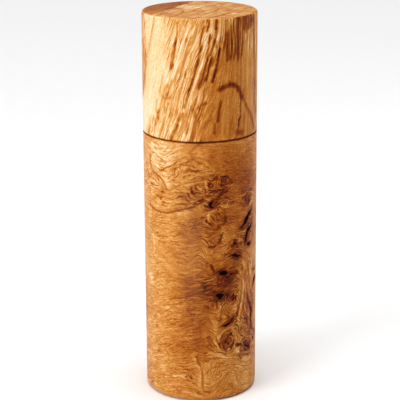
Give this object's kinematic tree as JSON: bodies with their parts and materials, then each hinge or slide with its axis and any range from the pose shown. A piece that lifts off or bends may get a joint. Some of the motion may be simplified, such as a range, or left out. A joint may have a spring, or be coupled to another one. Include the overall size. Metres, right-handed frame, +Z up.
{
  "type": "pepper mill",
  "caption": "Straight cylindrical pepper mill of burl wood; its pull-off head turns a steel shaft and a ceramic burr grinder, set from a knob under the base.",
  "frame": {"origin": "middle of the base ring, on the surface that the mill stands on", "axes": "+Z up the drive shaft; -Y is the side that the picture shows"},
  "size_m": [0.058, 0.058, 0.2],
  "materials": {
    "burl_wood": "turned and oiled to a satin sheen, swirling burl figure",
    "housing_plastic": "moulded, fine texture",
    "knob_plastic": "moulded, satin",
    "carrier_plastic": "moulded, satin",
    "socket_plastic": "moulded, satin",
    "burr_ceramic": "fired and ground, unglazed",
    "bush_brass": "turned",
    "nut_brass": "turned",
    "washer_nylon": "stamped, smooth",
    "shaft_steel": "drawn stainless bar",
    "spring_steel": "drawn stainless wire and strip",
    "cup_steel": "pressed stainless sheet",
    "screw_steel": "zinc plated",
    "plate_aluminium": "stamped, lightly brushed"
  },
  "bodies": {
    "body": {"mill_body": "burl_wood", "grinder_housing": "housing_plastic", "shaft_bridge": "housing_plastic", "shaft_bush": "bush_brass", "stator_burr": "burr_ceramic", "burr_retainer": "housing_plastic", "housing_screws": "screw_steel"},
    "spindle": {"drive_shaft": "shaft_steel", "shaft_clips": "spring_steel", "thrust_washers": "washer_nylon", "upper_spring_cup": "cup_steel", "burr_spring": "spring_steel"},
    "rotor": {"rotor_carrier": "carrier_plastic", "rotor_burr": "burr_ceramic", "lower_spring_cup": "cup_steel"},
    "knob": {"adjuster_knob": "knob_plastic", "knob_nut": "nut_brass"},
    "head": {"mill_head": "burl_wood", "drive_socket": "socket_plastic", "catch_spring": "spring_steel", "drive_plate": "plate_aluminium", "plate_screws": "screw_steel"}
  },
  "joints": [
    {"name": "spindle_turn", "type": "hinge", "parent": "body", "child": "spindle", "pos_m": [0, 0, 0], "axis": [0, 0, 1], "continuous": true},
    {"name": "head_lift", "type": "slide", "parent": "spindle", "child": "head", "axis": [0, 0, 1], "range_m": [0, 0.045], "deforming": ["catch_spring"]},
    {"name": "burr_lift", "type": "slide", "parent": "spindle", "child": "rotor", "axis": [0, 0, 1], "range_m": [0, 0.0008], "deforming": ["burr_spring"]},
    {"name": "knob_turn", "type": "hinge", "parent": "rotor", "child": "knob", "pos_m": [0, 0, 0], "axis": [0, 0, 1], "range_deg": [0, 360]}
  ],
  "couplings": [
    {"joint": "knob_turn", "follows": "burr_lift", "rad_per_m": 7854}
  ]
}
